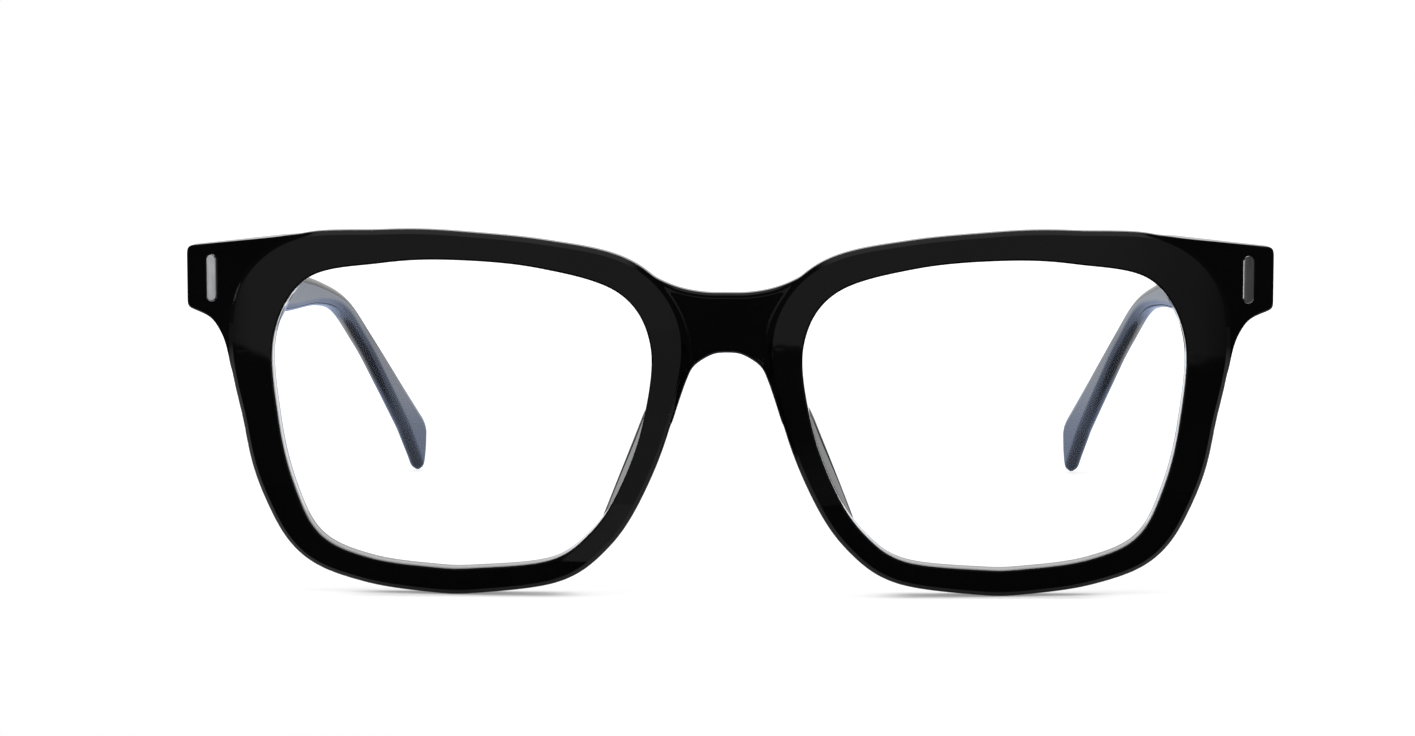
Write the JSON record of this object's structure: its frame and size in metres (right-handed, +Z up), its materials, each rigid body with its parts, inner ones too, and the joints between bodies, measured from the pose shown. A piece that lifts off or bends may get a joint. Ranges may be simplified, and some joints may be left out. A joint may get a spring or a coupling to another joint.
{
  "type": "computer glasses",
  "caption": "Rectangular full-rim acetate glasses with clear lenses, built-in nose pads, metal plaques and folding temples on screwed barrel hinges.",
  "frame": {"origin": "under the middle of the whole object's box, on the table that the open glasses stand on", "axes": "+X to the viewer's right in the picture, -Y out of the front of the glasses, +Y back along the temples, +Z up"},
  "size_m": [0.1456, 0.1401, 0.0487],
  "materials": {
    "acetate": "polished black acetate",
    "nose_pad": "polished black acetate, cemented on",
    "lens": "clear, with a faint bluish coating",
    "plaque": "satin silver with a polished edge",
    "hinge": "plain machined",
    "screw": "bright",
    "core_wire": "plain drawn bar"
  },
  "bodies": {
    "front": {"front_frame": "acetate", "lens_left": "lens", "lens_right": "lens", "nose_pad_left": "nose_pad", "nose_pad_right": "nose_pad", "front_plaque_left": "plaque", "front_plaque_right": "plaque", "front_hinge_left": "hinge", "front_hinge_right": "hinge", "hinge_screw_left": "screw", "hinge_screw_right": "screw"},
    "left_temple": {"temple_left": "acetate", "temple_hinge_left": "hinge", "core_wire_left": "core_wire", "temple_plaque_left": "plaque"},
    "right_temple": {"temple_right": "acetate", "temple_hinge_right": "hinge", "core_wire_right": "core_wire", "temple_plaque_right": "plaque"}
  },
  "joints": [
    {"name": "left_fold", "type": "hinge", "parent": "front", "child": "left_temple", "pos_m": [-0.06615, -0.0559, 0.0417], "axis": [0, 0, -1], "range_deg": [0, 85]},
    {"name": "right_fold", "type": "hinge", "parent": "front", "child": "right_temple", "pos_m": [0.06615, -0.0559, 0.0417], "axis": [0, 0, 1], "range_deg": [0, 79]}
  ]
}
